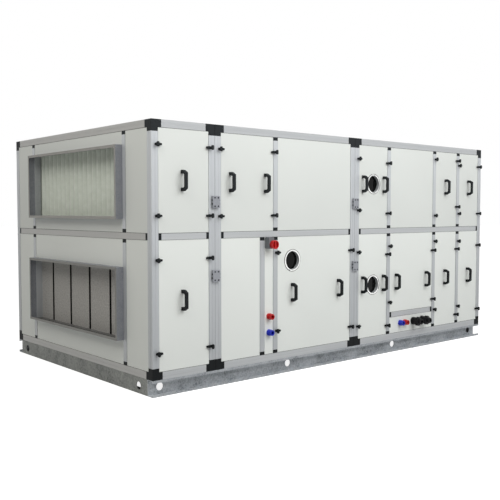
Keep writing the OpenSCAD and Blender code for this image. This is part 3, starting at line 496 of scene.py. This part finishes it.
# %% Closed-cell foam for the section seals
CORNER_PIECE = 92 * MM
PORE_MM = 4
PAINTED_TONE = 0.03

seal_low, seal_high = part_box("section_seals")
seal_middle = (seal_low.z + seal_high.z) / 2
seal_grey_half = (seal_high.z - seal_low.z) / 2 - CORNER_PIECE
seal_foam, foam_tree, foam_shader, foam_place = new_material("closed_cell_foam")
pores = add_node(foam_tree, "ShaderNodeTexNoise", inputs={
    "Vector": foam_place, "Scale": per_mm(PORE_MM), "Detail": 2.0})
foam_tone = add_node(foam_tree, "ShaderNodeValToRGB", inputs={"Fac": pores.outputs["Fac"]},
                     stops=[(0.3, "#9C9EA2"), (0.7, "#A8AAAE")])
foam_split = add_node(foam_tree, "ShaderNodeSeparateXYZ", inputs={"Vector": foam_place})
above = add_node(foam_tree, "ShaderNodeMath", {"operation": "SUBTRACT"}, {
    0: foam_split.outputs["Z"], 1: seal_middle})
off_middle = add_node(foam_tree, "ShaderNodeMath", {"operation": "ABSOLUTE"}, {0: above.outputs[0]})
foam_colour = toned(foam_tree, foam_tone.outputs["Color"], off_middle.outputs[0],
                    seal_grey_half, seal_grey_half + MM, 1.0, PAINTED_TONE)
set_inputs(foam_tree, foam_shader, {"Base Color": foam_colour, "Roughness": 0.9,
                                    "Specular IOR Level": 0.1})
print("made", seal_foam.name, "grey over", round(2 * seal_grey_half, 3), "m")

# %% [markdown]
# ## Fleeces
# The filters are pleated polyester fleece, pale with a hint of green. The bottom of each fold is
# painted greyer: painted shade in the fold. The attenuator's baffles wear a grey glass fleece that
# looks speckled, because its binder soaks in unevenly. Single fibres are too fine to show, so a
# coarser noise in the bump stands for them.

# %% Filter fleece and glass fleece
PLEAT_DEPTH = 34 * MM
FOLD_SHADE = 0.84
FIBRE_HEIGHT = 1.0 * MM


def fleece(name, dark, bright, speck_mm, fibre_mm, crest=None):
    """A soft fleece. With a crest, what lies deeper than this distance from the middle gets painted
    shade.
    """
    material, tree, shader, place = new_material(name)
    specks = add_node(tree, "ShaderNodeTexNoise", inputs={
        "Vector": place, "Scale": per_mm(speck_mm), "Detail": 5.0, "Roughness": 0.65})
    tone = add_node(tree, "ShaderNodeValToRGB", inputs={"Fac": specks.outputs["Fac"]},
                    stops=[(0.32, dark), (0.68, bright)])
    colour = tone.outputs["Color"]
    # Painted shade in the bottom of each fold.
    if crest:
        along = add_node(tree, "ShaderNodeSeparateXYZ", inputs={"Vector": place})
        reach = add_node(tree, "ShaderNodeMath", {"operation": "ABSOLUTE"}, {0: along.outputs["X"]})
        colour = toned(tree, colour, reach.outputs[0], crest - PLEAT_DEPTH, crest - PLEAT_DEPTH / 2,
                       FOLD_SHADE, 1.0)
    fibres = add_node(tree, "ShaderNodeTexNoise", inputs={
        "Vector": place, "Scale": per_mm(fibre_mm), "Detail": 4.0})
    bump = add_node(tree, "ShaderNodeBump", inputs={
        "Height": fibres.outputs["Fac"], "Strength": 0.35, "Distance": FIBRE_HEIGHT})
    set_inputs(tree, shader, {"Base Color": colour, "Roughness": 0.95, "Specular IOR Level": 0.1,
                              "Sheen Weight": 0.15, "Normal": bump.outputs["Normal"]})
    return material


filter_low, filter_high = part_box("filter_banks")
filter_fleece = fleece("polyester_filter_fleece", "#DFE6DC", "#EBF1E9", 60, 4, crest=filter_high.x)
baffle_fleece = fleece("glass_fleece_facing", "#9D9C9A", "#C8C7C4", 14, 5)
# Painted shade: the baffles' sides in the slots are painted black.
slot_shade_fleece = fleece("glass_fleece_painted_black_shade", "#0C0C0C", "#161616", 14, 5)
print("made", filter_fleece.name, baffle_fleece.name, slot_shade_fleece.name)

# %% [markdown]
# ## Sight glass
# The panes are plain glass. Clear glass would show an empty casing, but behind the real panes the
# inside is unlit, so the pane is drawn as a glossy black. A slow smear in its gloss is what a cloth
# leaves.

# %% Dark sight glass
SMEAR_MM = 50

pane, pane_tree, pane_shader, pane_place = new_material("dark_sight_glass")
smear = add_node(pane_tree, "ShaderNodeTexNoise", inputs={
    "Vector": pane_place, "Scale": per_mm(SMEAR_MM)})
pane_gloss = add_node(pane_tree, "ShaderNodeMapRange", inputs={
    "Value": smear.outputs["Fac"], "To Min": 0.03, "To Max": 0.10})
set_inputs(pane_tree, pane_shader, {
    "Base Color": linear("#060707"), "Roughness": pane_gloss.outputs[0],
    "IOR": 1.5, "Specular IOR Level": 0.13})
print("made", pane.name)

# %% [markdown]
# ## One finish for each node
# Most nodes are of one material all over, so they take it as a whole.

# %% Whole nodes
front_panels = ["doors_section_1", "doors_section_2", "doors_section_3_upper",
                "doors_section_3_lower", "panels_section_2", "panels_section_3"]
upper_collars = ["duct_collar_left_upper", "duct_collar_right_upper"]
lower_collars = ["duct_collar_left_lower", "duct_collar_right_lower"]
end_panels = ["end_panels_left", "end_panels_right"]
long_rails = ["base_rail_front", "base_rail_back"]


def dress(material, *names):
    """Gives whole nodes one material."""
    for name in names:
        nodes[name].data.materials.clear()
        nodes[name].data.materials.append(material)


dress(panel_paint, *front_panels, *end_panels, "back_panels", "roof_panels", "floor_panels")
dress(galvanised_steel, *long_rails, "base_cross_members")
dress(shaded_galvanised_ends, "base_rail_left", "base_rail_right")
dress(collar_sheet, *upper_collars, *lower_collars)
dress(inner_and_shade_sheet, "deck_panels")
dress(black_nylon, "corner_blocks", "rail_connectors", "door_handles", "panel_clamps")
dress(union_plastic, "drain_unions")
dress(seal_foam, "section_seals")
dress(filter_fleece, "filter_banks")
dress(baffle_fleece, "attenuator_baffles")
dress(bright_ring, "sight_glass_frames")
dress(pane, "sight_glass_panes")
dress(grey_plastic, "isolator_box")
dress(red_plastic, "isolator_knob", "pipe_stubs_flow")
dress(blue_plastic, "pipe_stubs_return")
dress(cast_zinc, "joint_blocks")
dress(dark_screws, "joint_screws")
print("panels painted:", len(front_panels), "nodes on the front")

# %% [markdown]
# ## Draw lines along the bars
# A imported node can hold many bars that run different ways. Each loose solid is found by joining
# faces that share a corner, and its longest side says which way its draw lines run.

# %% Aluminium bars
JOIN_DISTANCE = 0.01 * MM


def solids_of(node):
    """For each loose solid of a node: its lowest corner, its highest corner, its face numbers."""
    mesh = nodes[node].data
    corners = np.array([v.co for v in mesh.vertices])
    steps = np.round(corners / JOIN_DISTANCE).astype(np.int64)
    _, shared = np.unique(steps, axis=0, return_inverse=True)
    shared = shared.ravel()
    parent = np.arange(shared.max() + 1)

    def root(i):
        while parent[i] != i:
            parent[i] = parent[parent[i]]
            i = parent[i]
        return i

    for face in mesh.polygons:
        first = root(shared[face.vertices[0]])
        for v in face.vertices[1:]:
            parent[root(shared[v])] = first
    groups = {}
    for face in mesh.polygons:
        groups.setdefault(root(shared[face.vertices[0]]), []).append(face.index)
    found = []
    for faces in groups.values():
        points = corners[[v for f in faces for v in mesh.polygons[f].vertices]]
        found.append((Vector(points.min(0)), Vector(points.max(0)), faces))
    return sorted(found, key=lambda s: tuple(round(c, 4) for c in s[0]))


bars = 0
for name in ("frame_section_1", "frame_section_2", "frame_section_3", "rails_and_mullions_front",
             "rails_and_mullions_back", "rails_and_mullions_ends", "mullions_roof_floor"):
    mesh = nodes[name].data
    mesh.materials.clear()
    for material in aluminium:
        mesh.materials.append(material)
    for low, high, faces in solids_of(name):
        size = high - low
        run = max(range(3), key=lambda axis: size[axis])
        for face in faces:
            mesh.polygons[face].material_index = run
        bars += 1
print("bars with draw lines along their length:", bars)

# %% [markdown]
# ## A second finish on some faces
# Some pieces change their finish from one side to the next. Painting a mask by hand would break when
# a size changes, so each face is chosen by where it looks and where it lies.
# The long sides of the baffles, inside the air slots, are painted black: painted shade deep in the
# slots. The upper collars' lips are painted lighter, painted light, and the lower collars' lips
# darker, painted shade. The collars' floors and the sills behind them are painted dark: painted
# shade inside the collars. The lips of the long base rails are a darker grey. The rings are bright,
# and their barrels through the door are painted darker: painted shade in the hole. The jambs beside
# the filters, left above and right below, are painted darker: painted shade inside the openings.

# %% Faces with a finish of their own
FACING = 0.9

middle_z = (casing_low.z + casing_high.z) / 2


def dress_where(material, names, chosen):
    """Gives a further material to each face that passes the test with the box of its solid."""
    for name in names:
        mesh = nodes[name].data
        mesh.materials.append(material)
        for low, high, faces in solids_of(name):
            for number in faces:
                if chosen(mesh.polygons[number], low, high):
                    mesh.polygons[number].material_index = len(mesh.materials) - 1


def looks_along_x(face, low, high):
    return abs(face.normal.x) > FACING


def looks_along_y(face, low, high):
    return abs(face.normal.y) > FACING


def looks_up(face, low, high):
    return face.normal.z > FACING


def is_collar_floor(face, low, high):
    return looks_up(face, low, high) and face.center.z < (low.z + high.z) / 2


def is_rail_lip(face, low, high):
    return abs(face.center.y) > max(abs(low.y), abs(high.y)) - MM


def is_ring_barrel(face, low, high):
    outwards = face.center - (low + high) / 2
    outwards.y = 0.0
    return face.normal.dot(outwards.normalized()) < -FACING


def is_filter_jamb(face, low, high):
    return looks_along_y(face, low, high) and (face.center.x < 0) == (face.center.z > middle_z)


dress_where(slot_shade_fleece, ["attenuator_baffles"], looks_along_y)
dress_where(lit_collar_lip, upper_collars, looks_along_x)
dress_where(shaded_collar_lip, lower_collars, looks_along_x)
dress_where(shade_sheet, upper_collars + lower_collars, is_collar_floor)
dress_where(shade_sheet, end_panels, looks_up)
dress_where(darker_lip_zinc, long_rails, is_rail_lip)
# Painted shade in the rings' barrels and on the jambs beside the filters.
dress_where(inner_and_shade_sheet, ["sight_glass_frames"], is_ring_barrel)
dress_where(inner_and_shade_sheet, ["rails_and_mullions_ends"], is_filter_jamb)
print("dull ring faces:", sum(f.material_index for f in nodes["sight_glass_frames"].data.polygons))

# %% [markdown]
# ## Soft edges
# Nothing real has a perfectly sharp edge, and the small round catches the light. Rounds in the solids
# would make them heavy, so a modifier adds them here. A weld joins the solid's corners, and a bevel
# then rounds only the edges that turn by more than a set angle.

# %% Rounded edges on plastic pieces and castings
SHARP_TURN = math.radians(35)


def soften(name, width_mm, segments):
    """Rounds the sharp edges of a node."""
    piece = nodes[name]
    weld = piece.modifiers.new("weld", "WELD")
    weld.merge_threshold = JOIN_DISTANCE
    bevel = piece.modifiers.new("round_edges", "BEVEL")
    bevel.width = width_mm * MM
    bevel.segments = segments
    bevel.limit_method = "ANGLE"
    bevel.angle_limit = SHARP_TURN


softened = (("door_handles", 2.0, 2), ("panel_clamps", 2.5, 2), ("corner_blocks", 2.0, 2),
            ("isolator_box", 4.0, 3), ("isolator_knob", 2.5, 3), ("joint_blocks", 1.5, 2))
for name, width_mm, segments in softened:
    soften(name, width_mm, segments)
print("softened", len(softened), "nodes")

# %% [markdown]
# ## Seals in the panel joints
# Each panel presses a rubber strip against its frame. From outside it shows as a thin dark line all
# round the panel. One flat ring per panel, laid in the open joint, draws that line. A dark paint on
# the joint's floor would do so too, but a ring stays a piece of its own that can be found and kept.

# %% Seals round every panel
JOINT_W = 3.0 * MM
JOINT_DEPTH = 7.0 * MM
SEAL_T = 2.5 * MM
SEAL_SLACK = 0.15 * MM
SEAL_POINTS = 16


def mesh_piece(name, points, faces, material, body):
    """A new mesh piece that rides on a body and takes the given material."""
    mesh = bpy.data.meshes.new(name)
    mesh.from_pydata([tuple(p) for p in points], [], faces)
    mesh.update()
    mesh.materials.append(material)
    piece = bpy.data.objects.new(name, mesh)
    scene.collection.objects.link(piece)
    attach(piece, body)


def ring_in_joint(low, high, axis, sign, points, faces):
    """Adds a flat ring in the joint of the panel with this box. axis and sign point outwards."""
    across = [a for a in range(3) if a != axis]
    face = low[axis] if sign < 0 else high[axis]
    bottom = face - sign * (JOINT_DEPTH - SEAL_SLACK)
    start = len(points)
    for depth in (bottom, bottom + sign * SEAL_T):
        for inset in (SEAL_SLACK, JOINT_W - SEAL_SLACK):
            for u, v in ((0, 0), (1, 0), (1, 1), (0, 1)):
                p = [0.0, 0.0, 0.0]
                p[axis] = depth
                p[across[0]] = (low, high)[u][across[0]] + (inset, -inset)[u]
                p[across[1]] = (low, high)[v][across[1]] + (inset, -inset)[v]
                points.append(p)
    turned = (axis == 1) == (sign > 0)
    for k in range(4):
        n = (k + 1) % 4
        under, under_n, in_under, in_under_n = (start + i for i in (k, n, 4 + k, 4 + n))
        top, top_n, in_top, in_top_n = (start + i for i in (8 + k, 8 + n, 12 + k, 12 + n))
        ring = [(top, top_n, in_top_n, in_top), (under_n, under, in_under, in_under_n),
                (under, under_n, top_n, top), (in_under_n, in_under, in_top, in_top_n)]
        faces.extend(tuple(reversed(f)) if turned else f for f in ring)


walls = {
    "front": (1, -1, front_panels),
    "left": (0, -1, ["end_panels_left"]),
    "right": (0, 1, ["end_panels_right"]),
    "back": (1, 1, ["back_panels"]),
    "roof": (2, 1, ["roof_panels"]),
}
for wall, (axis, sign, names) in walls.items():
    points, faces = [], []
    for name in names:
        for low, high, _ in solids_of(name):
            ring_in_joint(low, high, axis, sign, points, faces)
    mesh_piece("panel_seals_" + wall, points, faces, seal_rubber, "casing")
    print(wall, "wall: seals round", len(points) // SEAL_POINTS, "panels")

# %% [markdown]
# ## Gaskets of the sight glasses
# A flat rubber gasket lies between each ring and its door. Its edge shows as a fine dark outline,
# which also stands in for the ring's shadow on the door, so it is partly painted shade. A rectangle
# that is swept round the ring's middle makes it, closed on all sides.

# %% Gaskets round the sight glasses
# The outer edge is partly painted shade: it stands in for the ring's shadow.
GASKET_AND_SHADE_OUT = 3.2 * MM
GASKET_IN = 1.0 * MM
GASKET_T = 2.5 * MM
GASKET_STEPS = 64

door_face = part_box("doors_section_1")[0].y
back, front = door_face - SEAL_SLACK, door_face - GASKET_T
points, faces = [], []
for low, high, _ in solids_of("sight_glass_frames"):
    middle = (low + high) / 2
    ring_r = (high.x - low.x) / 2
    inner, outer = ring_r + GASKET_IN, ring_r + GASKET_AND_SHADE_OUT
    section = ((outer, back), (outer, front), (inner, front), (inner, back))
    start = len(points)
    for k in range(GASKET_STEPS):
        turn = math.tau * k / GASKET_STEPS
        for radius, y in section:
            points.append((middle.x + radius * math.cos(turn), y,
                           middle.z + radius * math.sin(turn)))
        here, there = start + 4 * k, start + 4 * ((k + 1) % GASKET_STEPS)
        for corner in range(4):
            after = (corner + 1) % 4
            faces.append((here + corner, there + corner, there + after, here + after))
mesh_piece("sight_glass_gaskets", points, faces, seal_rubber, "casing")
print("gaskets:", len(points) // (4 * GASKET_STEPS))
